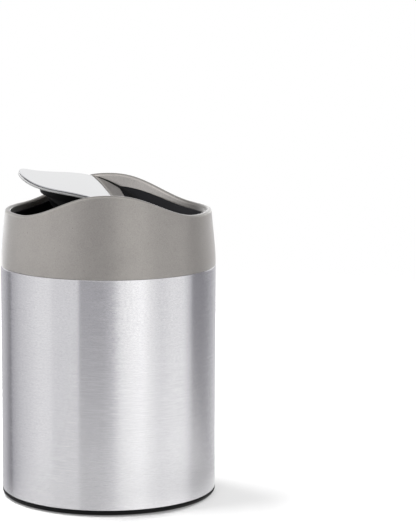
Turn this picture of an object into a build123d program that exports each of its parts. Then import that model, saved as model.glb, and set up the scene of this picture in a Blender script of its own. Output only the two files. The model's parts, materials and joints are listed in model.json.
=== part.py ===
from build123d import *

import os
from math import asin, atan, cos, degrees, pi, radians, sin, tan

# Push top countertop bin. Millimetres, +Z up, origin on the worktop at the centre of the base.
# The front is at -Y. The lid see-saws about an axis along Y, and is drawn with its right end (+X)
# pushed down by lid_tilt, the pose that the part is kept in.

# --- Driving dimensions ---------------------------------------------------------------------

body_radius = 62.0
sheet = 0.6  # steel sheet of the shell, the floor and the lid
seam_height = 134.2  # middle of the joint between the steel body and the head
seam_gap = 0.1
base_height = 3.1  # black ring seen under the steel

rim_low_height = 166.5  # top of the rim at the left and right
rim_rise = 14.2  # how far the rim climbs to the front and the back
wave_reach = 51.7  # half length of the wave, along X
wave_power = 1.17  # above 1 the crest is broader than a plain cosine
rim_wall = 3.3
collar_skin = 2.0
collar_curve_height = 12.0  # lower stretch of the collar, which bends from upright to its lean
collar_curve_radius = 120.0

lid_radius = 54.3
lid_recess = 5.5  # closed lid's crest below the rim's crests
lid_rise = 11.8  # how far the lid climbs to its crest, so its ends are less deep below the rim
lid_tilt = 27.2
lid_swing = 58.0  # either way from closed
pivot_depth = 6.0  # pivot axis below the top of the lid's crest
pin_radius = 2.0
running_clearance = 0.05
snug = 0.02

# --- Levels and radii worked out from them --------------------------------------------------

shell_inner = body_radius - sheet
shell_top = seam_height - seam_gap / 2
collar_bottom = seam_height + seam_gap / 2
hem_inner = body_radius - 2 * sheet
hem_depth = 5.0
floor_bottom = base_height + sheet
floor_top = floor_bottom + sheet

rim_high_height = rim_low_height + rim_rise
lid_crest_height = rim_high_height - lid_recess
pivot_height = lid_crest_height - pivot_depth

# The rim is cut, and the lid's layers are shaped, by one wave that runs along X.
wave_span = 66.0  # the wave's outline reaches this far each way, past every piece that it cuts
wave_step = 6.0
cut_depth = 70.0  # the wave is swept this far each way along Y


def wave_share(x):
    """Height of the wave at x, from 0 at the left and right ends to 1 at its crest."""
    along = min(abs(x) / wave_reach, 1.0) ** wave_power
    return (1 + cos(pi * along)) / 2


def wave_points(low, rise):
    """Points of the wave from left to right, low at its ends and low + rise at its crest."""
    steps = round(2 * wave_span / wave_step)
    stations = [-wave_span + wave_step * step for step in range(steps + 1)]
    return [(x, low + rise * wave_share(x)) for x in stations]


def wave_sketch(plane, low, rise, level):
    """Everything between the wave and a straight line at level, on the far side of the bin."""
    with BuildSketch(plane.offset(-cut_depth)) as outline:
        with BuildLine():
            wave = Spline(*wave_points(low, rise), tangents=((1, 0), (1, 0)))
            Polyline(wave @ 1, (wave_span, level), (-wave_span, level), wave @ 0)
        make_face()
    return outline.sketch


def screw(head_radius, head_height, shank_radius, length):
    """A screw that points up, its head below Z = 0, with a cross recess."""
    slot_length = 1.5 * head_radius
    slot_width = 0.3 * head_radius
    slot_depth = 0.5 * head_height
    with BuildPart() as one_screw:
        with BuildSketch(Plane.XY):
            Circle(head_radius)
        extrude(amount=-head_height)
        fillet(edges().group_by(Axis.Z)[0], 0.3 * head_height)
        with BuildSketch(Plane.XY):
            Circle(shank_radius)
        extrude(amount=length)
        chamfer(edges().group_by(Axis.Z)[-1], 0.4 * shank_radius)
        with BuildSketch(Plane.XY.offset(-head_height)):
            Rectangle(slot_length, slot_width)
            Rectangle(slot_width, slot_length)
        extrude(amount=slot_depth, mode=Mode.SUBTRACT)
    return one_screw.part


def save(piece, name):
    """Label a finished piece and write it under its own name."""
    piece.label = name
    export_step(piece, f"parts/{name}.step")


os.makedirs("parts", exist_ok=True)

# --- Body shell: steel tube, hemmed at the top, turned in over the base at the bottom ------

foot_flange_radius = 59.0
foot_corner = 0.9
hem_corner = 0.55

with BuildPart() as body_shell:
    with BuildSketch(Plane.XZ):
        with BuildLine():
            Polyline(
                (foot_flange_radius, base_height),
                (body_radius, base_height),
                (body_radius, shell_top),
                (hem_inner, shell_top),
                (hem_inner, shell_top - hem_depth),
                (shell_inner, shell_top - hem_depth),
                (shell_inner, floor_bottom),
                (foot_flange_radius, floor_bottom),
                close=True,
            )
        make_face()
        fillet(vertices().group_by(Axis.X)[-1].sort_by(Axis.Y)[0], foot_corner)
        fillet(vertices().group_by(Axis.Y)[-1], hem_corner)
    revolve(axis=Axis.Z)

# --- Floor plate: steel disc with a turned-up edge, standing on the shell's flange ---------

floor_radius = shell_inner - 0.2
floor_lip = 3.0
base_screw_count = 3
base_screw_circle = 40.0
base_shank = 1.1

with BuildPart() as floor_plate:
    with BuildSketch(Plane.XY.offset(floor_bottom)):
        Circle(floor_radius)
    extrude(amount=sheet)
    with BuildSketch(Plane.XY.offset(floor_top)):
        Circle(floor_radius)
        Circle(floor_radius - sheet, mode=Mode.SUBTRACT)
    extrude(amount=floor_lip)
    with BuildSketch(Plane.XY.offset(floor_bottom)):
        with PolarLocations(base_screw_circle, base_screw_count):
            Circle(base_shank + running_clearance)
    extrude(amount=sheet, mode=Mode.SUBTRACT)

# --- Base cap: black plastic, under the shell and the floor plate --------------------------

cap_radius = body_radius + 0.1
cap_corner = 2.2
cap_foot = 0.5  # lowest level of the cap, above the worktop
cap_belly = 1.2  # underside of the cap inside the ring
ring_inner = 51.0
ring_outer = 57.0
ring_seat = 2.0  # level of the bottom of the groove, which the rubber ring fills
cap_spigot = foot_flange_radius - 0.2
base_head_radius = 2.2
base_head_height = 1.0
base_head_room = 0.2
base_shank_length = 2.6
base_head_seat = cap_belly + base_head_height + base_head_room

with BuildPart() as base_cap:
    with BuildSketch(Plane.XZ):
        with BuildLine():
            Polyline(
                (0, cap_belly),
                (ring_inner, cap_belly),
                (ring_inner, ring_seat),
                (ring_outer, ring_seat),
                (ring_outer, cap_foot),
                (cap_radius, cap_foot),
                (cap_radius, base_height),
                (cap_spigot, base_height),
                (cap_spigot, floor_bottom),
                (0, floor_bottom),
                close=True,
            )
        make_face()
        fillet(vertices().group_by(Axis.X)[-1].sort_by(Axis.Y)[0], cap_corner)
    revolve(axis=Axis.Z)
    with BuildSketch(Plane.XY.offset(cap_belly)):
        with PolarLocations(base_screw_circle, base_screw_count):
            Circle(base_head_radius + base_head_room)
    extrude(amount=base_head_height + base_head_room, mode=Mode.SUBTRACT)
    with BuildSketch(Plane.XY.offset(base_head_seat)):
        with PolarLocations(base_screw_circle, base_screw_count):
            Circle(base_shank + 2 * running_clearance)
    extrude(amount=base_height, mode=Mode.SUBTRACT)

with BuildPart(Plane.XY.offset(base_head_seat)) as base_screws:
    with PolarLocations(base_screw_circle, base_screw_count):
        add(screw(base_head_radius, base_head_height, base_shank, base_shank_length))

# --- Non-skid ring: rubber, the only piece that touches the worktop ------------------------

ring_fit = 0.1
ring_edge = 0.4
ring_groove = 0.6
ring_middle = (ring_inner + ring_outer) / 2

with BuildPart() as nonskid_ring:
    with BuildSketch(Plane.XZ):
        with Locations((ring_middle, ring_seat / 2)):
            Rectangle(ring_outer - ring_inner - 2 * ring_fit, ring_seat)
        fillet(vertices().group_by(Axis.Y)[0], ring_edge)
        with Locations((ring_middle - 1.0, 0), (ring_middle + 1.0, 0)):
            Rectangle(ring_groove, ring_groove, mode=Mode.SUBTRACT)
    revolve(axis=Axis.Z)

# --- Inner bucket: black plastic, drops in from above and stands on the floor plate --------

bucket_wall = 1.4
bucket_top = 122.5
bucket_foot_radius = 52.0
bucket_foot_width = 2.4
bucket_floor = floor_top + 2.0
bucket_bottom_radius = 55.0
bucket_top_radius = 58.7
bucket_flange_radius = 60.3
bucket_corner = 2.4
finger_hole_radius = 8.0
finger_hole_height = 108.0

with BuildPart() as inner_bucket:
    with BuildSketch(Plane.XZ):
        with BuildLine():
            Polyline(
                (0, bucket_floor),
                (bucket_foot_radius - bucket_foot_width, bucket_floor),
                (bucket_foot_radius - bucket_foot_width, floor_top),
                (bucket_foot_radius, floor_top),
                (bucket_foot_radius, bucket_floor),
                (bucket_bottom_radius, bucket_floor),
                (bucket_top_radius, bucket_top - bucket_wall),
                (bucket_flange_radius, bucket_top - bucket_wall),
                (bucket_flange_radius, bucket_top),
                (bucket_top_radius - bucket_wall, bucket_top),
                (bucket_bottom_radius - bucket_wall, bucket_floor + bucket_wall),
                (0, bucket_floor + bucket_wall),
                close=True,
            )
        make_face()
        heel = (bucket_bottom_radius, bucket_floor)
        inner_heel = (bucket_bottom_radius - bucket_wall, bucket_floor + bucket_wall)
        fillet(vertices().sort_by_distance((*heel, 0))[0], bucket_corner)
        fillet(vertices().sort_by_distance((*inner_heel, 0))[0], bucket_corner)
        fillet(vertices().group_by(Axis.Y)[-1], bucket_wall / 3)
    revolve(axis=Axis.Z)
    with BuildSketch(Plane.YZ):
        with Locations((0, finger_hole_height)):
            Circle(finger_hole_radius)
    extrude(amount=body_radius, both=True, mode=Mode.SUBTRACT)

# --- Collar shell: grey plastic head with the wave rim --------------------------------------

collar_lean = asin(collar_curve_height / collar_curve_radius)
collar_curve_top = collar_bottom + collar_curve_height
collar_curve_top_radius = body_radius - collar_curve_radius * (1 - cos(collar_lean))
collar_top = rim_high_height + 3.0  # height before the wave is cut
rim_round = 1.4
lip_start = 158.0  # the thicker lip is built up from here, then cut to its own wave
lip_low_height = rim_low_height - 4.0
lip_rise = rim_rise - 3.5
lip_overlap = 1.0  # of the lip with the skin
plug_clearance = 0.3
plug_outer = hem_inner - plug_clearance
plug_wall = 1.4
plug_inner = plug_outer - plug_wall
plug_bottom = 124.0
plug_edge = 0.5
shelf_thickness = 1.8
boss_count = 4
boss_circle = 56.7
boss_radius = 2.2
boss_top = 142.0
gusset = 1.4
collar_foot_round = 0.4
collar_shank = 1.1
collar_shank_length = 6.0


def collar_radius(height):
    """Outer radius of the collar above its curved lower stretch."""
    return collar_curve_top_radius - (height - collar_curve_top) * tan(collar_lean)


with BuildPart() as collar_shell:
    with BuildSketch(Plane.XZ):
        with BuildLine():
            Polyline(
                (collar_radius(lip_start) - lip_overlap, lip_start),
                (collar_radius(collar_top) - lip_overlap, collar_top),
                (collar_radius(collar_top) - rim_wall, collar_top),
                (collar_radius(lip_start) - rim_wall, lip_start),
                close=True,
            )
        make_face()
    revolve(axis=Axis.Z)
    below_lip = wave_sketch(Plane.XZ, lip_low_height, lip_rise, plug_bottom)
    extrude(below_lip, amount=2 * cut_depth, mode=Mode.SUBTRACT)
    with BuildSketch(Plane.XZ):
        with BuildLine():
            bend = JernArc((body_radius, collar_bottom), (0, 1), collar_curve_radius, degrees(collar_lean))
            inner_bend = JernArc(
                (body_radius - collar_skin, collar_bottom), (0, 1), collar_curve_radius, degrees(collar_lean)
            )
            Polyline(
                bend @ 1,
                (collar_radius(collar_top), collar_top),
                (collar_radius(collar_top) - collar_skin, collar_top),
                inner_bend @ 1,
            )
            Line(bend @ 0, inner_bend @ 0)
        make_face()
        fillet(vertices().group_by(Axis.Y)[0].sort_by(Axis.X)[-1], collar_foot_round)
    revolve(axis=Axis.Z)
    with BuildSketch(Plane.XZ):
        with BuildLine():
            Polyline(
                (plug_inner, plug_bottom),
                (plug_outer, plug_bottom),
                (plug_outer, collar_bottom),
                (body_radius - collar_skin / 2, collar_bottom),
                (body_radius - collar_skin / 2, collar_bottom + shelf_thickness),
                (plug_inner, collar_bottom + shelf_thickness),
                close=True,
            )
        make_face()
        fillet(vertices().group_by(Axis.Y)[0], plug_edge)
    revolve(axis=Axis.Z)
    with BuildSketch(Plane.XY.offset(collar_bottom)):
        with PolarLocations(boss_circle, boss_count, start_angle=45):
            Circle(boss_radius)
        with PolarLocations((boss_circle + plug_outer) / 2, boss_count, start_angle=45):
            Rectangle(plug_outer - boss_circle, gusset)
    extrude(amount=boss_top - collar_bottom)
    with BuildSketch(Plane.XY.offset(collar_bottom)):
        with PolarLocations(boss_circle, boss_count, start_angle=45):
            Circle(collar_shank + running_clearance)
    extrude(amount=collar_shank_length + 1.0, mode=Mode.SUBTRACT)
    above_rim = wave_sketch(Plane.XZ, rim_low_height, rim_rise, collar_top + 1.0)
    extrude(above_rim, amount=2 * cut_depth, mode=Mode.SUBTRACT)
    fillet(faces().sort_by(Axis.Z)[-1].edges(), rim_round)

# --- Pivot ring: black inner frame, with the lid's bearings and the funnel into the bucket --

ring_top_gap = 0.1
pivot_ring_inner = 55.3
pivot_ring_outer = 56.5
funnel_inner = 52.6
funnel_outer = 54.0
funnel_bottom = 117.0
shoulder_low = 145.8
shoulder_high = 151.2
flange_outer = plug_inner - 0.2
flange_thickness = 1.8
flange_top = collar_bottom

# Where the lid's carrier comes down on the bumpers at the end of its swing.
tape_thickness = 0.35
carrier_thickness = 1.4
bumper_radius = 2.0
bumper_reach = 10.0  # from the pivot axis, along the lid
bumper_gap = 0.35
bumper_stem_radius = 1.2
bumper_inner_end = 51.2
bumper_outer_end = 56.9

bush_radius = 3.2
bush_flange_radius = 3.8
bush_flange = 0.7
bush_seat = 55.15  # flat back of the bush's flange, just inside the ring's round wall
bush_inner_end = 52.6

layers_depth = sheet + tape_thickness + carrier_thickness
underside = pivot_depth - layers_depth - lid_rise * (1 - wave_share(bumper_reach))
underside_step = lid_rise * (wave_share(bumper_reach) - wave_share(bumper_reach + 1.0))
underside_slope = atan(underside_step)
stand_off = bumper_radius + bumper_gap
touch_along = bumper_reach - stand_off * sin(underside_slope)
touch_up = underside - stand_off * cos(underside_slope)
swing = radians(lid_swing)
bumper_x = touch_along * cos(swing) + touch_up * sin(swing)
bumper_height = pivot_height - touch_along * sin(swing) + touch_up * cos(swing)

ends = {"front": -1, "rear": 1}


def end_plane(side, distance):
    """Upright plane at distance from the bin's axis, facing out to the front (-1) or the rear (1)."""
    return Plane(origin=(0, side * distance, 0), x_dir=(-side, 0, 0), z_dir=(0, side, 0))


with BuildPart() as pivot_ring:
    with BuildSketch(Plane.XZ):
        with BuildLine():
            Polyline(
                (funnel_inner, funnel_bottom),
                (funnel_outer, funnel_bottom),
                (funnel_outer, flange_top - flange_thickness),
                (flange_outer, flange_top - flange_thickness),
                (flange_outer, flange_top),
                (funnel_outer, flange_top),
                (funnel_outer, shoulder_low),
                (pivot_ring_outer, shoulder_high),
                (pivot_ring_outer, collar_top),
                (pivot_ring_inner, collar_top),
                (pivot_ring_inner, shoulder_high),
                (funnel_inner, shoulder_low),
                close=True,
            )
        make_face()
    revolve(axis=Axis.Z)
    above_ring = wave_sketch(Plane.XZ, lip_low_height - ring_top_gap, lip_rise, collar_top + 1.0)
    extrude(above_ring, amount=2 * cut_depth, mode=Mode.SUBTRACT)
    with BuildSketch(Plane.XZ):
        with Locations((0, pivot_height)):
            Circle(bush_radius + snug)
        with Locations((-bumper_x, bumper_height), (bumper_x, bumper_height)):
            Circle(bumper_stem_radius + snug)
    extrude(amount=cut_depth, both=True, mode=Mode.SUBTRACT)
    with BuildSketch(Plane.XY.offset(flange_top)):
        with PolarLocations(boss_circle, boss_count, start_angle=45):
            Circle(collar_shank + 2 * running_clearance)
    extrude(amount=-flange_thickness, mode=Mode.SUBTRACT)

collar_head_radius = 2.0
collar_head_height = 1.2

with BuildPart(Plane.XY.offset(flange_top - flange_thickness)) as collar_screws:
    with PolarLocations(boss_circle, boss_count, start_angle=45):
        add(screw(collar_head_radius, collar_head_height, collar_shank, collar_shank_length))

# --- Bushes, pins and bumpers, at the front and at the rear ---------------------------------

pin_inner_end = 45.0
pin_outer_end = 56.3
pin_chamfer = 0.4

for name, side in ends.items():
    with BuildPart() as bush:
        with BuildSketch(end_plane(side, bush_inner_end)):
            with Locations((0, pivot_height)):
                Circle(bush_radius)
        extrude(amount=pivot_ring_outer - bush_inner_end)
        with BuildSketch(end_plane(side, bush_seat)):
            with Locations((0, pivot_height)):
                Circle(bush_flange_radius)
        extrude(amount=-bush_flange)
        with BuildSketch(end_plane(side, bush_inner_end)):
            with Locations((0, pivot_height)):
                Circle(pin_radius + running_clearance)
        extrude(amount=pivot_ring_outer - bush_inner_end, mode=Mode.SUBTRACT)
    save(bush.part, f"{name}_bush")

    with BuildPart() as pin:
        with BuildSketch(end_plane(side, pin_inner_end)):
            with Locations((0, pivot_height)):
                Circle(pin_radius)
        extrude(amount=pin_outer_end - pin_inner_end)
        chamfer(edges(), pin_chamfer)
    save(pin.part, f"{name}_pin")

with BuildPart() as stop_bumpers:
    for side in ends.values():
        with BuildSketch(end_plane(side, bumper_inner_end)):
            with Locations((-bumper_x, bumper_height), (bumper_x, bumper_height)):
                Circle(bumper_radius)
        extrude(amount=pivot_ring_inner - 0.6 - bumper_inner_end)
        with BuildSketch(end_plane(side, bumper_inner_end)):
            with Locations((-bumper_x, bumper_height), (bumper_x, bumper_height)):
                Circle(bumper_stem_radius)
        extrude(amount=bumper_outer_end - bumper_inner_end)

# --- The lid's own frame: origin on the pivot axis, X along the lid, Z up out of it ---------

tilt = radians(lid_tilt)
along_lid = (cos(tilt), 0, -sin(tilt))
out_of_lid = (sin(tilt), 0, cos(tilt))
lid_level = Plane(origin=(0, 0, pivot_height), x_dir=along_lid, z_dir=out_of_lid)
lid_side = Plane(origin=(0, 0, pivot_height), x_dir=along_lid, z_dir=(0, -1, 0))
lid_up = Axis((0, 0, pivot_height), out_of_lid)

cover_low = pivot_depth - lid_rise  # the cover's top surface at the left and right ends
tape_low = cover_low - sheet
carrier_low = tape_low - tape_thickness
tray_low = carrier_low - carrier_thickness


def wave_band(low, thickness):
    """A band of the given thickness under the lid's wave, on the far side of the bin."""
    with BuildSketch(lid_side.offset(-cut_depth)) as band:
        with BuildLine():
            upper = Spline(*wave_points(low, lid_rise), tangents=((1, 0), (1, 0)))
            lower = Spline(*wave_points(low - thickness, lid_rise), tangents=((1, 0), (1, 0)))
            Line(upper @ 0, lower @ 0)
            Line(upper @ 1, lower @ 1)
        make_face()
    return band.sketch


# --- Lid cover: polished steel sheet --------------------------------------------------------

cover_edge = 0.25

with BuildPart() as lid_cover:
    extrude(wave_band(cover_low, sheet), amount=2 * cut_depth)
    with BuildSketch(lid_level):
        Circle(lid_radius)
    extrude(amount=cut_depth, both=True, mode=Mode.INTERSECT)
    fillet(faces().sort_by(lid_up)[-1].edges(), cover_edge)

# --- Lid tape: thin foam layer that holds the cover to the carrier --------------------------

tape_radius = lid_radius - 0.8

with BuildPart() as lid_tape:
    extrude(wave_band(tape_low, tape_thickness), amount=2 * cut_depth)
    with BuildSketch(lid_level):
        Circle(tape_radius)
    extrude(amount=cut_depth, both=True, mode=Mode.INTERSECT)

# --- Lid carrier: light edge band and plate, with four bosses for the tray ------------------

carrier_radius = lid_radius - 0.2
carrier_edge = 0.5
tray_floor = -13.4  # inside floor of the tray, in the lid's frame
tray_wall = 1.6
tray_screw_pitch = 33.0
tray_boss_radius = 2.6
tray_shank = 1.0
tray_shank_length = 9.0
tray_head_radius = 1.9
tray_head_height = 1.0

with BuildPart() as lid_carrier:
    extrude(wave_band(carrier_low, carrier_thickness), amount=2 * cut_depth)
    with BuildSketch(lid_level):
        Circle(carrier_radius)
    extrude(amount=cut_depth, both=True, mode=Mode.INTERSECT)
    fillet(faces().sort_by(lid_up)[0].edges(), carrier_edge)
    with BuildSketch(lid_level.offset(tray_floor)):
        with GridLocations(tray_screw_pitch, tray_screw_pitch, 2, 2):
            Circle(tray_boss_radius)
    extrude(until=Until.NEXT)
    with BuildSketch(lid_level.offset(tray_floor)):
        with GridLocations(tray_screw_pitch, tray_screw_pitch, 2, 2):
            Circle(tray_shank + running_clearance)
    extrude(amount=tray_shank_length, mode=Mode.SUBTRACT)

# --- Lid tray: black underside, with the weight's hump and the ears for the pins ------------

tray_thickness = 5.6
cone_low_level = -17.0  # the tray's edge is a cone, which narrows downwards
cone_low_radius = 33.0
cone_high_level = 7.0
cone_high_radius = 54.6
hump_radius = 35.0
hump_base_radius = 29.5
hump_side_depth = -11.0
hump_depth = tray_floor - tray_wall
hump_top = 8.0  # above the tray's own top, before it is cut to the wave
ear_radius = 3.4
ear_inner_end = 38.0
ear_outer_end = 51.9
weight_screw_pitch = 30.0


def tray_cone(inset):
    """Outline of the cone that bounds the tray, drawn that far inside it."""
    with BuildSketch(lid_side) as outline:
        Polygon(
            (0, cone_low_level),
            (cone_low_radius - inset, cone_low_level),
            (cone_high_radius - inset, cone_high_level),
            (0, cone_high_level),
            align=None,
        )
    return outline.sketch


with BuildPart() as tray_pocket:
    extrude(wave_band(tray_low + tray_wall, tray_thickness), amount=2 * cut_depth)
    revolve(tray_cone(tray_wall), axis=lid_up, mode=Mode.INTERSECT)

with BuildPart() as lid_tray:
    extrude(wave_band(tray_low, tray_thickness), amount=2 * cut_depth)
    revolve(tray_cone(0), axis=lid_up, mode=Mode.INTERSECT)
    with BuildSketch(lid_side):
        Polygon(
            (0, hump_depth),
            (hump_base_radius, hump_depth),
            (hump_radius, hump_side_depth),
            (hump_radius, hump_top),
            (0, hump_top),
            align=None,
        )
    revolve(axis=lid_up)
    above_tray = wave_sketch(lid_side, tray_low, lid_rise, 3 * hump_top)
    extrude(above_tray, amount=2 * cut_depth, mode=Mode.SUBTRACT)
    add(tray_pocket.part, mode=Mode.SUBTRACT)
    with BuildSketch(lid_side):
        Polygon(
            (0, tray_floor),
            (hump_base_radius - tray_wall, tray_floor),
            (hump_radius - tray_wall, hump_side_depth + tray_wall),
            (hump_radius - tray_wall, hump_top),
            (0, hump_top),
            align=None,
        )
    revolve(axis=lid_up, mode=Mode.SUBTRACT)
    for side in ends.values():
        with BuildSketch(end_plane(side, ear_inner_end)):
            with Locations((0, pivot_height)):
                Circle(ear_radius)
        extrude(amount=ear_outer_end - ear_inner_end)
    with BuildSketch(lid_level.offset(hump_depth)):
        with GridLocations(tray_screw_pitch, tray_screw_pitch, 2, 2):
            Circle(tray_shank + 2 * running_clearance)
        with GridLocations(0, weight_screw_pitch, 1, 2):
            Circle(tray_shank + 2 * running_clearance)
    extrude(amount=tray_wall, mode=Mode.SUBTRACT)
    for side in ends.values():
        with BuildSketch(end_plane(side, pin_inner_end)):
            with Locations((0, pivot_height)):
                Circle(pin_radius + snug)
        extrude(amount=cut_depth, mode=Mode.SUBTRACT)

with BuildPart(lid_level.offset(hump_depth)) as tray_screws:
    with GridLocations(tray_screw_pitch, tray_screw_pitch, 2, 2):
        add(screw(tray_head_radius, tray_head_height, tray_shank, tray_shank_length))

# --- Counterweight: steel bar on the tray's floor, across the middle of the lid -------------

weight_width = 22.0
weight_length = 46.0
weight_height = 6.0
weight_corner = 3.0
weight_shank_length = 6.0

with BuildPart() as counterweight:
    with BuildSketch(lid_level.offset(tray_floor)):
        RectangleRounded(weight_width, weight_length, weight_corner)
        with GridLocations(0, weight_screw_pitch, 1, 2):
            Circle(tray_shank + running_clearance, mode=Mode.SUBTRACT)
    extrude(amount=weight_height)

with BuildPart(lid_level.offset(hump_depth)) as counterweight_screws:
    with GridLocations(0, weight_screw_pitch, 1, 2):
        add(screw(tray_head_radius, tray_head_height, tray_shank, weight_shank_length))

pieces = {
    "body_shell": body_shell,
    "floor_plate": floor_plate,
    "base_cap": base_cap,
    "base_screws": base_screws,
    "nonskid_ring": nonskid_ring,
    "inner_bucket": inner_bucket,
    "collar_shell": collar_shell,
    "pivot_ring": pivot_ring,
    "collar_screws": collar_screws,
    "stop_bumpers": stop_bumpers,
    "lid_cover": lid_cover,
    "lid_tape": lid_tape,
    "lid_carrier": lid_carrier,
    "lid_tray": lid_tray,
    "tray_screws": tray_screws,
    "counterweight": counterweight,
    "counterweight_screws": counterweight_screws,
}
for name, piece in pieces.items():
    save(piece.part, name)
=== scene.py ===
import json
from math import cos, pi, radians, sin

import bmesh
import bpy
from mathutils import Matrix, Vector


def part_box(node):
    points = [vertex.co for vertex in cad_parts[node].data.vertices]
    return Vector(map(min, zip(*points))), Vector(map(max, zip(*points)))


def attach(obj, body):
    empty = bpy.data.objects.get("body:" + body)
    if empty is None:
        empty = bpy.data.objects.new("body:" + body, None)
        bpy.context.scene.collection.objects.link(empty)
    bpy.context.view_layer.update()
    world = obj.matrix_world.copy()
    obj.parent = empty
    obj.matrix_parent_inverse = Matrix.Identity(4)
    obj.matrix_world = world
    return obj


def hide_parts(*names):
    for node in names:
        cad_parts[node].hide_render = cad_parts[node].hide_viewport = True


# Push top countertop bin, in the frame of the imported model: +Z up, front at -Y. Blender works in
# metres. Shapes are worked out in millimetres, as in the part's source, and scaled when they are made.

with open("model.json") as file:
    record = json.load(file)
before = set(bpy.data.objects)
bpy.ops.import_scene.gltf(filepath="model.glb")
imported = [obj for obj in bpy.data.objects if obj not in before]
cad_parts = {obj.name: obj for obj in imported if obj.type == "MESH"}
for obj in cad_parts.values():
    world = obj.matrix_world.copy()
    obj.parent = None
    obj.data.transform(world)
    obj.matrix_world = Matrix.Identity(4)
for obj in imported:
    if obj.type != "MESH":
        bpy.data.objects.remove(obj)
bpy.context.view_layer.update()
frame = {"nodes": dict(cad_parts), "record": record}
nodes = frame["nodes"]
mm = 0.001

# --- Camera, fitted to the edges of the body and the head in the photograph -------------------

image_height = 522  # pixels
sensor_height = 36.0  # in the camera's own millimetres
focal_pixels = 2288.4
camera_distance = 1.3097
camera_height = 0.3345
camera_yaw = radians(2.517)  # to the right
camera_pitch = radians(8.626)  # down
camera_roll = radians(-0.246)
camera_reach = 50.0


def make_camera():
    level_forward = Vector((sin(camera_yaw), cos(camera_yaw), 0))
    level_right = Vector((cos(camera_yaw), -sin(camera_yaw), 0))
    forward = level_forward * cos(camera_pitch) - Vector((0, 0, sin(camera_pitch)))
    level_up = level_right.cross(forward)
    right = level_right * cos(camera_roll) - level_up * sin(camera_roll)
    up = level_right * sin(camera_roll) + level_up * cos(camera_roll)
    data = bpy.data.cameras.new("camera")
    data.sensor_fit = "VERTICAL"
    data.sensor_height = sensor_height
    data.lens = focal_pixels / image_height * sensor_height
    data.clip_end = camera_reach
    camera = bpy.data.objects.new("camera", data)
    turn = Matrix((right, up, -forward)).transposed().to_4x4()
    camera.matrix_world = Matrix.Translation((0, -camera_distance, camera_height)) @ turn
    bpy.context.scene.collection.objects.link(camera)
    bpy.context.scene.camera = camera


make_camera()

# --- Node helpers ---------------------------------------------------------------------------

noise_middle = 0.5
noise_spread = 0.2  # most of a noise texture lies this close to its middle


class Nodes:
    """Short calls that add linked shader nodes to a material's or the world's tree."""

    def __init__(self, tree):
        self.tree = tree
        tree.nodes.clear()

    def put(self, socket, value):
        """Link a socket to value, another socket or a node, or set it where value is neither."""
        if isinstance(value, bpy.types.NodeSocket):
            self.tree.links.new(value, socket)
        elif isinstance(value, bpy.types.Node):
            self.tree.links.new(value.outputs[0], socket)
        else:
            socket.default_value = value

    def add(self, kind, inputs=None, **settings):
        """A new node, with its settings and then its inputs, by name or by index."""
        node = self.tree.nodes.new(kind)
        for key, value in settings.items():
            setattr(node, key, value)
        for key, value in (inputs or {}).items():
            self.put(node.inputs[key], value)
        return node

    def math(self, operation, *values):
        return self.add("ShaderNodeMath", dict(enumerate(values)), operation=operation).outputs[0]

    def vector(self, operation, *values):
        """A vector worked out from vectors, or a number where the operation gives one."""
        node = self.add("ShaderNodeVectorMath", dict(enumerate(values)), operation=operation)
        return node.outputs["Value" if operation in ("DOT_PRODUCT", "LENGTH") else "Vector"]

    def scaled(self, vector, factor):
        inputs = {"Vector": vector, "Scale": factor}
        return self.add("ShaderNodeVectorMath", inputs, operation="SCALE").outputs["Vector"]

    def split(self, vector):
        return self.add("ShaderNodeSeparateXYZ", {0: vector}).outputs

    def remap(self, value, low, high, start, end, kind="LINEAR"):
        """A number that goes from start, where value is low, to end, where it is high."""
        inputs = dict(enumerate((value, low, high, start, end)))
        return self.add("ShaderNodeMapRange", inputs, interpolation_type=kind).outputs[0]

    def smooth(self, value, low, high, start=0.0, end=1.0):
        return self.remap(value, low, high, start, end, "SMOOTHSTEP")

    def blend(self, factor, first, second):
        """The number first where factor is 0, and second where it is 1."""
        return self.add("ShaderNodeMix", {0: factor, 2: first, 3: second}).outputs[0]

    def mix(self, factor, first, second, blend="MIX"):
        """The colour first where factor is 0, and second, blended with it, where it is 1."""
        inputs = {0: factor, 6: first, 7: second}
        return self.add("ShaderNodeMix", inputs, data_type="RGBA", blend_type=blend).outputs[2]

    def ramp(self, factor, stops):
        """A colour ramp; a stop is (position, grey) or (position, (r, g, b))."""
        node = self.add("ShaderNodeValToRGB", {"Fac": factor})
        elements = node.color_ramp.elements
        while len(elements) < len(stops):
            elements.new(0.5)
        for element, (position, colour) in zip(elements, stops):
            element.position = position
            element.color = (*colour, 1) if isinstance(colour, tuple) else (colour, colour, colour, 1)
        return node.outputs[0]

    def noise(self, place, scale, detail, rough=0.5):
        inputs = {"Vector": place, "Scale": scale, "Detail": detail, "Roughness": rough}
        return self.add("ShaderNodeTexNoise", inputs).outputs[0]

    def level(self, noise, low, high):
        """A number between low and high, by the noise."""
        return self.remap(noise, noise_middle - noise_spread, noise_middle + noise_spread, low, high)

    def shade(self, noise, low, high, spread=noise_spread):
        """A colour or grey between low and high, by the noise."""
        return self.ramp(noise, ((noise_middle - spread, low), (noise_middle + spread, high)))

    def bump(self, height, strength, distance, **others):
        inputs = {"Strength": strength, "Distance": distance, "Height": height}
        return self.add("ShaderNodeBump", inputs | others)


def new_material(name):
    """A material, the calls that add its nodes, and each point's place on the object."""
    material = bpy.data.materials.new(name)
    material.use_nodes = True
    n = Nodes(material.node_tree)
    return material, n, n.add("ShaderNodeTexCoord").outputs["Object"]


def finish_material(n, surface):
    n.add("ShaderNodeOutputMaterial", {"Surface": surface})


# --- Materials ------------------------------------------------------------------------------

body_radius = 62.0


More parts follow.
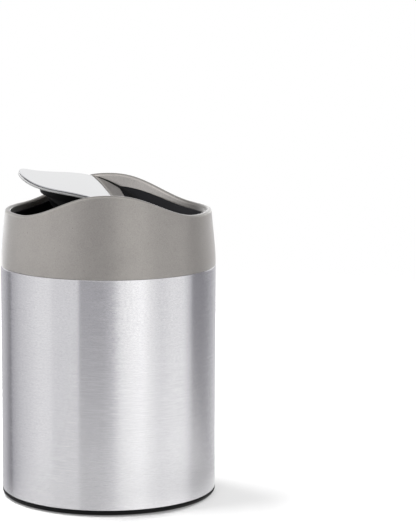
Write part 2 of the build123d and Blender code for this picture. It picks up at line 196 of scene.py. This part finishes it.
def brushed_round_steel():
    """Stainless steel brushed round the body: fine level lines, which stretch reflections upright."""
    dark_line = (0.735, 0.729, 0.753)
    light_line = (0.884, 0.880, 0.888)
    line_spread = 0.16
    cloud_shade = 0.975
    fine_share = 0.6  # of the fine lines in the grain, beside the long hairs
    rough_line = 0.23
    smooth_line = 0.14
    scratch_range = (0.44, 0.66)  # of the hairs' noise
    scratch_roughness = 0.08
    lean_share = 0.05
    grain_height = 0.05 * mm
    material, n, place = new_material("brushed_round_steel")
    x, y, z = n.split(place)
    arc = n.math("MULTIPLY", n.math("ARCTAN2", x, n.math("MULTIPLY", y, -1.0)), body_radius * mm)

    def lines(along, across, detail):
        """Noise with so many cells to a metre round the body and up it."""
        round_body = n.math("MULTIPLY", arc, along)
        up_body = n.math("MULTIPLY", z, across)
        stretched = n.add("ShaderNodeCombineXYZ", {0: round_body, 2: up_body})
        return n.noise(stretched, scale=1.0, detail=detail, rough=0.7)

    fine = lines(along=600.0, across=1500.0, detail=3.0)
    hairs = lines(along=80.0, across=1300.0, detail=4.0)
    cloud = lines(along=25.0, across=30.0, detail=3.0)
    grain = n.math("ADD", n.math("MULTIPLY", fine, fine_share), n.math("MULTIPLY", hairs, 1 - fine_share))
    colour = n.shade(grain, dark_line, light_line, line_spread)
    colour = n.mix(1.0, colour, n.shade(cloud, cloud_shade, 1.0), "MULTIPLY")
    # Deeper scratches spread the light, which shows where the steel mirrors a dark flag.
    scratches = n.smooth(hairs, *scratch_range, 0.0, scratch_roughness)
    roughness = n.math("ADD", n.level(grain, rough_line, smooth_line), scratches)
    # Each brush line leans a little to one side, so that the reflections end in fine level streaks.
    normal = n.add("ShaderNodeNewGeometry").outputs["Normal"]
    tangent = n.add("ShaderNodeTangent", direction_type="RADIAL", axis="Z").outputs[0]
    off_middle = n.math("SUBTRACT", n.math("ADD", fine, hairs), 2 * noise_middle)
    leaning = n.scaled(tangent, n.math("MULTIPLY", off_middle, lean_share))
    leant = n.vector("NORMALIZE", n.vector("ADD", normal, leaning))
    shader = n.add(
        "ShaderNodeBsdfPrincipled",
        {
            "Base Color": colour,
            "Metallic": 1.0,
            "Roughness": roughness,
            "Anisotropic": 0.97,
            "Anisotropic Rotation": 0.25,
            "Tangent": tangent,
            "Normal": n.bump(grain, 0.08, grain_height, Normal=leant),
        },
    )
    finish_material(n, shader)
    return material


def sheet_steel(name, colour, rough, mottled, grazing=1.0):
    """Plain or polished sheet and turned steel; grazing is its tint where it is seen edge on."""
    roughest = 1.2 * rough
    smoothest = 0.85 * rough
    grain_height = 0.03 * mm
    material, n, place = new_material(name)
    cloud = n.noise(place, scale=180.0, detail=4.0, rough=0.6)
    grain = n.noise(place, scale=2500.0, detail=2.0)
    shader = n.add(
        "ShaderNodeBsdfPrincipled",
        {
            "Base Color": n.shade(cloud, tuple(c * (1 - mottled) for c in colour), colour),
            "Metallic": 1.0,
            "Roughness": n.level(cloud, roughest, smoothest),
            "Specular Tint": (grazing, grazing, grazing, 1),
            "Normal": n.bump(grain, 0.05, grain_height),
        },
    )
    finish_material(n, shader)
    return material


def painted_ring_shading(n, place, painted_rear_light):
    """Painted light and shade in a ring's plastic, as a factor on its colour: painted light lightens the
    rear wall's inner face by the given amount, painted shade darkens the inner side walls and the rounded
    top, and it is 1 on the outer walls."""
    # Painted shade: factors on the colour of the inner side walls and of the rounded top.
    painted_side_shade = 0.7
    top = 0.42
    inner_lean = 0.22  # the painted shade of the top starts this much sooner over its inner edge
    rear_normals = (-0.95, -0.45)  # y, from the rear wall inside to the side walls
    inner_normals = (-0.6, -0.2)  # outward, from the walls inside to the rest
    top_normals = (0.3, 0.85)  # z, from the walls to the top
    outward = n.vector("NORMALIZE", n.vector("MULTIPLY", place, (1, 1, 0)))
    normal = n.add("ShaderNodeNewGeometry").outputs["Normal"]
    facing = n.vector("DOT_PRODUCT", outward, normal)
    right, rear, upward = n.split(normal)
    wall = n.smooth(rear, *rear_normals, painted_rear_light, painted_side_shade)
    inner = n.smooth(facing, *inner_normals, 1.0, 0.0)
    rounded = n.math("ADD", upward, n.math("MULTIPLY", inner, inner_lean))
    return n.math("MULTIPLY", n.blend(inner, 1.0, wall), n.smooth(rounded, *top_normals, 1.0, top))


def moulded_plastic(
    name,
    colour,
    rough,
    speckle,
    grain_height,
    specular=0.5,
    metallic=0.0,
    sheen=0.0,
    painted_rear_light=1.0,
    grazing=1.0,
):
    """Moulded plastic or rubber with a fine spark-eroded grain, in mm, and a faint speckle."""
    dots_share = 0.75
    speckle_spread = 0.18
    roughness_spread = 0.05
    material, n, place = new_material(name)
    dots = n.noise(place, scale=1500.0, detail=2.0, rough=0.8)
    cloud = n.noise(place, scale=90.0, detail=4.0, rough=0.6)
    mixed = n.math("ADD", n.math("MULTIPLY", dots, dots_share), n.math("MULTIPLY", cloud, 1 - dots_share))
    dark = tuple(c * (1 - speckle) for c in colour)
    light = tuple(c * (1 + speckle) for c in colour)
    tint = n.shade(mixed, dark, light, speckle_spread)
    # Painted light and shade: a ring's rear wall lightened on its inner face, its inner side walls and
    # its top darkened.
    if painted_rear_light != 1.0:
        tint = n.scaled(tint, painted_ring_shading(n, place, painted_rear_light))
    shader = n.add(
        "ShaderNodeBsdfPrincipled",
        {
            "Base Color": tint,
            "Metallic": metallic,
            "Roughness": n.level(mixed, rough + roughness_spread, rough - roughness_spread),
            "Specular IOR Level": specular,
            "Specular Tint": (grazing, grazing, grazing, 1),
            "Sheen Weight": sheen,
            "Sheen Roughness": 0.3,
            "Normal": n.bump(dots, 0.35, grain_height * mm),
        },
    )
    finish_material(n, shader)
    return material


materials = {
    "brushed_steel": brushed_round_steel(),
    "polished_steel": sheet_steel(
        "polished_steel", (0.585, 0.59, 0.605), rough=0.045, mottled=0.01, grazing=0.74
    ),
    "plain_steel": sheet_steel("plain_steel", (0.62, 0.62, 0.63), rough=0.3, mottled=0.10),
    "grey_plastic": moulded_plastic(
        "grey_plastic",
        (0.37, 0.35, 0.33),
        rough=0.31,
        speckle=0.14,
        grain_height=0.01,
        specular=0.6,
        metallic=0.5,
        sheen=0.6,
        # painted light on the ring's rear wall within, and painted shade on its side walls and top
        painted_rear_light=2.0,
        grazing=0.6,
    ),
    "light_plastic": moulded_plastic(
        "light_plastic", (0.31, 0.31, 0.31), rough=0.35, speckle=0.02, grain_height=0.003
    ),
    "black_plastic": moulded_plastic(
        "black_plastic", (0.013, 0.013, 0.015), rough=0.45, speckle=0.2, grain_height=0.03, specular=0.3
    ),
    "dark_plastic": moulded_plastic(
        "dark_plastic", (0.005, 0.005, 0.0055), rough=0.5, speckle=0.2, grain_height=0.03, specular=0.12
    ),
    "natural_plastic": moulded_plastic(
        "natural_plastic", (0.72, 0.70, 0.64), rough=0.35, speckle=0.02, grain_height=0.01
    ),
    "black_rubber": moulded_plastic(
        "black_rubber", (0.015, 0.015, 0.015), rough=0.7, speckle=0.2, grain_height=0.05, specular=0.2
    ),
    "black_foam": moulded_plastic(
        "black_foam", (0.02, 0.02, 0.02), rough=0.9, speckle=0.4, grain_height=0.08, specular=0.2
    ),
}
for part in frame["record"]["subparts"]:
    piece = nodes[part["node"]]
    piece.data.materials.clear()
    piece.data.materials.append(materials[part["material_slot"]])
# The lid's tray is given a darker plastic than the rest of the black plastic, as painted shade for the
# deep shade under the lid; the base cap is given it too.
for name in ("lid_tray", "base_cap"):
    nodes[name].data.materials[0] = materials["dark_plastic"]

# --- Meshes from sections --------------------------------------------------------------------


def loft(name, sections, closed, smooth):
    """A skin over sections, rings of as many points each, in mm; closed joins the last to the first."""
    mesh = bpy.data.meshes.new(name)
    bm = bmesh.new()
    rings = []
    for section in sections:
        rings.append([bm.verts.new([mm * value for value in point]) for point in section])
    pairs = list(zip(rings, rings[1:]))
    if closed:
        pairs.append((rings[-1], rings[0]))
    else:
        bm.faces.new(rings[0])
        bm.faces.new(rings[-1])
    for here, there in pairs:
        for index in range(len(here)):
            after = (index + 1) % len(here)
            face = bm.faces.new((here[index], there[index], there[after], here[after]))
            face.smooth = smooth
    bmesh.ops.recalc_face_normals(bm, faces=bm.faces)
    bm.to_mesh(mesh)
    bm.free()
    piece = bpy.data.objects.new(name, mesh)
    bpy.context.scene.collection.objects.link(piece)
    return piece


# --- Body shell, as a clean turned piece -----------------------------------------------------

shell_segments = 384
corner_steps = 12
sharp_angle = radians(32)


def corner(centre, across, upright, start, end):
    """Points of an ellipse's arc in the profile's plane, from angle start to angle end, in degrees."""
    turns = [radians(start + (end - start) * step / corner_steps) for step in range(corner_steps + 1)]
    return [(centre[0] + across * cos(turn), centre[1] + upright * sin(turn)) for turn in turns]


def make_shell():
    """The steel tube with its rolled foot and the hem folded in at its top."""
    low, high = (corner_of_box / mm for corner_of_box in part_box("body_shell"))
    outer = high.x
    foot = low.z
    top = high.z
    sheet = 0.6
    foot_corner = 0.9
    hem_across = 0.3
    hem_upright = 1.2
    hem_depth = 5.0
    flange_radius = 59.0
    hem_inner = outer - 2 * sheet
    profile = [(flange_radius, foot)]
    profile += corner((outer - foot_corner, foot + foot_corner), foot_corner, foot_corner, -90, 0)
    profile += corner((outer - hem_across, top - hem_upright), hem_across, hem_upright, 0, 90)
    profile += corner((hem_inner + hem_across, top - hem_across), hem_across, hem_across, 90, 180)
    profile += [(hem_inner, top - hem_depth), (outer - sheet, top - hem_depth)]
    profile += [(outer - sheet, foot + sheet), (flange_radius, foot + sheet)]
    turns = [2 * pi * segment / shell_segments for segment in range(shell_segments)]
    sections = [[(r * cos(turn), r * sin(turn), z) for r, z in profile] for turn in turns]
    shell = loft("steel_shell", sections, closed=True, smooth=True)
    shell.data.set_sharp_from_angle(angle=sharp_angle)
    shell.data.materials.append(materials["brushed_steel"])
    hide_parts("body_shell")
    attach(shell, "bin")


make_shell()

# --- Painted shade: dark rubber strips along the lid's edge, over the pivots, for the shade in the gap to the collar ---

lid_radius = 54.3
lid_crest_height = 175.2
lid_rise = 11.8
pivot_height = 169.2
lid_tilt = radians(27.2)  # at rest, from level
wave_reach = 51.7  # from the crest to where the lid's top is lowest
wave_power = 1.17


def lid_height(x):
    """Height of the level lid's top at x, in mm."""
    along = min(1.0, (abs(x) / wave_reach) ** wave_power)
    return lid_crest_height - lid_rise * (1 - cos(pi * along)) / 2


def make_shade_strip(name, side):
    """A thin dark strip standing against the lid's edge at the front (-1) or the rear (1), as painted
    shade in the gap between the lid and the collar.
    """
    inner = lid_radius + 0.05
    outer = lid_radius + 0.5
    left = -14.0
    right = 27.0
    steps = 48
    above = 0.3
    swell = 0.6  # how much further the strip stands out to the right of the pivot
    swell_from = -6.0
    swell_over = 16.0
    height = 1.3
    drop = 0.8  # at the ends, where the strip runs out under the lid's edge
    drop_power = 8  # the higher, the closer to the ends the strip turns down
    tilt = Matrix.Rotation(lid_tilt, 3, "Y")
    pivot = Vector((0, 0, pivot_height))
    sections = []
    for step in range(steps + 1):
        share = step / steps
        x = left + (right - left) * share
        swollen = min(max((x - swell_from) / swell_over, 0.0), 1.0)
        dropped = drop * abs(2 * share - 1) ** drop_power
        top = lid_height(x) + above + swell * swollen - dropped - pivot_height
        bottom = top - height
        corners = ((inner, top), (outer, top), (outer, bottom), (inner, bottom))
        level_points = [Vector((x, side * (radius**2 - x**2) ** 0.5, z)) for radius, z in corners]
        sections.append([tilt @ point + pivot for point in level_points])
    strip = loft(name, sections, closed=False, smooth=False)
    strip.data.materials.append(materials["black_rubber"])
    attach(strip, "lid")


make_shade_strip("rear_shade_strip", 1)
make_shade_strip("front_shade_strip", -1)

# --- Studio ---------------------------------------------------------------------------------

# The studio that glossy surfaces show: brightness by azimuth, in degrees to the right of the
# direction from the bin to the camera, at and below eye level. Dark flags stand between the lights.
studio_walls = (
    (-180, 0.62),
    (-154, 0.56),
    (-145, 0.46),
    (-137, 0.32),
    (-129.5, 0.22),
    (-128, 0.44),
    (-118, 0.56),
    (-109, 0.66),
    (-80, 0.86),
    (-64, 0.85),
    (-62.5, 0.76),
    (-32.5, 0.75),
    (-31, 0.38),
    (-7, 0.38),
    (4, 0.53),
    (13, 0.92),
    (28, 1.12),
    (36, 1.18),
    (46, 0.93),
    (57, 0.76),
    (72, 0.87),
    (87, 0.86),
    (97, 0.60),
    (102, 0.29),
    (118, 0.27),
    (131, 0.31),
    (146, 0.45),
    (158, 0.60),
    (180, 0.62),
)
flag_tint = (0.965, 0.95, 1.045, 1)  # of the dark flags
white = (1, 1, 1, 1)
backdrop_level = 1.32  # behind the bin, above the horizon
ceiling_level = 0.93
ambient_level = 0.50
behind_range = (0.5, 0.9)  # of a direction's y, from the walls to the backdrop
horizon_range = (-0.02, 0.05)  # of a direction's z, from the walls to the backdrop
ceiling_range = (0.35, 0.7)  # of a direction's z, from the walls to the ceiling


def grey(level):
    """An even grey as a socket's colour."""
    return (level, level, level, 1)


def make_world():
    """White to the camera, the studio to glossy rays and an even grey to the rest."""
    world = bpy.data.worlds.new("studio")
    bpy.context.scene.world = world
    world.use_nodes = True
    n = Nodes(world.node_tree)
    x, y, z = n.split(n.add("ShaderNodeTexCoord").outputs["Generated"])
    turn = n.math("ARCTAN2", x, n.math("MULTIPLY", y, -1.0))
    share = n.math("ADD", n.math("DIVIDE", turn, 2 * pi), 0.5)
    walls = n.ramp(share, tuple((0.5 + azimuth / 360, level) for azimuth, level in studio_walls))
    walls = n.mix(1.0, walls, n.mix(walls, flag_tint, white), "MULTIPLY")
    behind = n.smooth(y, *behind_range)
    above_horizon = n.smooth(z, *horizon_range)
    overhead = n.smooth(z, *ceiling_range)
    walls = n.mix(n.math("MULTIPLY", behind, above_horizon), walls, grey(backdrop_level))
    glossy = n.mix(overhead, walls, grey(ceiling_level))
    path = n.add("ShaderNodeLightPath")
    seen = n.mix(path.outputs["Is Glossy Ray"], grey(ambient_level), glossy)
    seen = n.mix(path.outputs["Is Camera Ray"], seen, white)
    background = n.add("ShaderNodeBackground", {"Color": seen, "Strength": 1.0})
    n.add("ShaderNodeOutputWorld", {"Surface": background})


floor_radius = 0.9
floor_segments = 96
floor_grey = 0.6
floor_lift = 0.21  # what the white studio adds to the floor, beside its lamps
fade_range = (0.35, 0.85)  # distances over which the floor fades

# The floor as the bin mirrors it, a painted reflection: how solid and grey it is, and the painted light
# that lightens it.
mirrored_share = 0.7
mirrored_grey = 0.38
mirrored_range = (0.03, 0.75)  # distances over which it fades
mirror_edge_slope = 0.6  # of the edge of the painted shade in the mirror, in x for each y
mirror_edge_range = (-0.1, -0.03)
rear_share = 0.45  # of what is left of it behind the bin
rear_range = (0.0, 0.1)
painted_foot_glow = 0.4  # painted light that only the bin's mirror sees, close round the foot, on the right
foot_range = (0.07, 0.1)
foot_side_range = (-0.05, 0.02)
painted_shadow_glow = 0.24  # painted light that only the bin's mirror sees, in the shadow, on the right and in front
shadow_side_range = (-0.02, 0.07)
shadow_front_range = (-0.06, 0.04)


def make_floor():
    """A floor that fades into the white studio. The camera sees the shadow on it. The bin mirrors only
    part of it, and the studio through the rest, and sees it greyer, with painted shade and painted light
    on it."""
    mesh = bpy.data.meshes.new("floor")
    bm = bmesh.new()
    bmesh.ops.create_circle(bm, cap_ends=True, segments=floor_segments, radius=floor_radius)
    bm.to_mesh(mesh)
    bm.free()
    floor = bpy.data.objects.new("floor", mesh)
    bpy.context.scene.collection.objects.link(floor)
    material, n, place = new_material("floor")
    x, y, z = n.split(place)
    distance = n.vector("LENGTH", place)
    path = n.add("ShaderNodeLightPath")
    glossy = path.outputs["Is Glossy Ray"]
    solid = n.smooth(distance, *fade_range, 1.0, 0.0)
    # Painted shade in the mirror: on the left and behind the bin the floor turns clear to glossy rays, so
    # that the bin mirrors the darker studio there.
    floor_in_mirror = n.smooth(n.math("SUBTRACT", x, n.math("MULTIPLY", y, mirror_edge_slope)), *mirror_edge_range)
    floor_in_mirror = n.math("MULTIPLY", floor_in_mirror, n.smooth(y, *rear_range, 1.0, rear_share))
    mirrored = n.math("MULTIPLY", n.smooth(distance, *mirrored_range, mirrored_share, 0.0), floor_in_mirror)
    shown = n.blend(glossy, solid, mirrored)
    # Painted light: a glow that only glossy rays see, round the foot and in the shadow on the right.
    foot = n.smooth(distance, *foot_range, painted_foot_glow, 0.0)
    foot = n.math("MULTIPLY", foot, n.smooth(x, *foot_side_range))
    shadow = n.smooth(x, *shadow_side_range, 0.0, painted_shadow_glow)
    shadow = n.math("MULTIPLY", shadow, n.smooth(y, *shadow_front_range, 1.0, 0.0))
    lift = n.math("MULTIPLY", glossy, n.math("ADD", foot, shadow))
    lift = n.math("ADD", n.math("MULTIPLY", path.outputs["Is Camera Ray"], floor_lift), lift)
    diffuse = n.add("ShaderNodeBsdfDiffuse", {"Color": n.blend(glossy, floor_grey, mirrored_grey)})
    glow = n.add("ShaderNodeEmission", {"Color": white, "Strength": lift})
    lit = n.add("ShaderNodeAddShader", {0: diffuse, 1: glow})
    clear = n.add("ShaderNodeBsdfTransparent")
    finish_material(n, n.add("ShaderNodeMixShader", {0: shown, 1: clear, 2: lit}))
    mesh.materials.append(material)


def area_light(name, place, target, width, height, power):
    """A lamp that faces target; the bin doesn't mirror it."""
    data = bpy.data.lights.new(name, "AREA")
    data.shape = "RECTANGLE"
    data.size = width
    data.size_y = height
    data.energy = power
    light = bpy.data.objects.new(name, data)
    light.location = place
    light.rotation_euler = (Vector(target) - Vector(place)).to_track_quat("-Z", "Y").to_euler()
    bpy.context.scene.collection.objects.link(light)
    light.visible_glossy = False


make_world()
make_floor()
area_light("key", (-0.36, 0.10, 1.2), (0, 0, 0.05), width=0.85, height=0.16, power=25.0)
area_light("front", (0.9, -1.4, 0.9), (0, 0, 0.1), width=1.0, height=1.0, power=4.6)
area_light("left", (-1.2, 0.2, 0.4), (0, 0, 0.12), width=0.5, height=0.5, power=1.4)
area_light("right", (0.85, 0.85, 0.45), (0, 0, 0.12), width=0.4, height=0.5, power=19.0)

scene = bpy.context.scene
scene.view_settings.view_transform = "Standard"
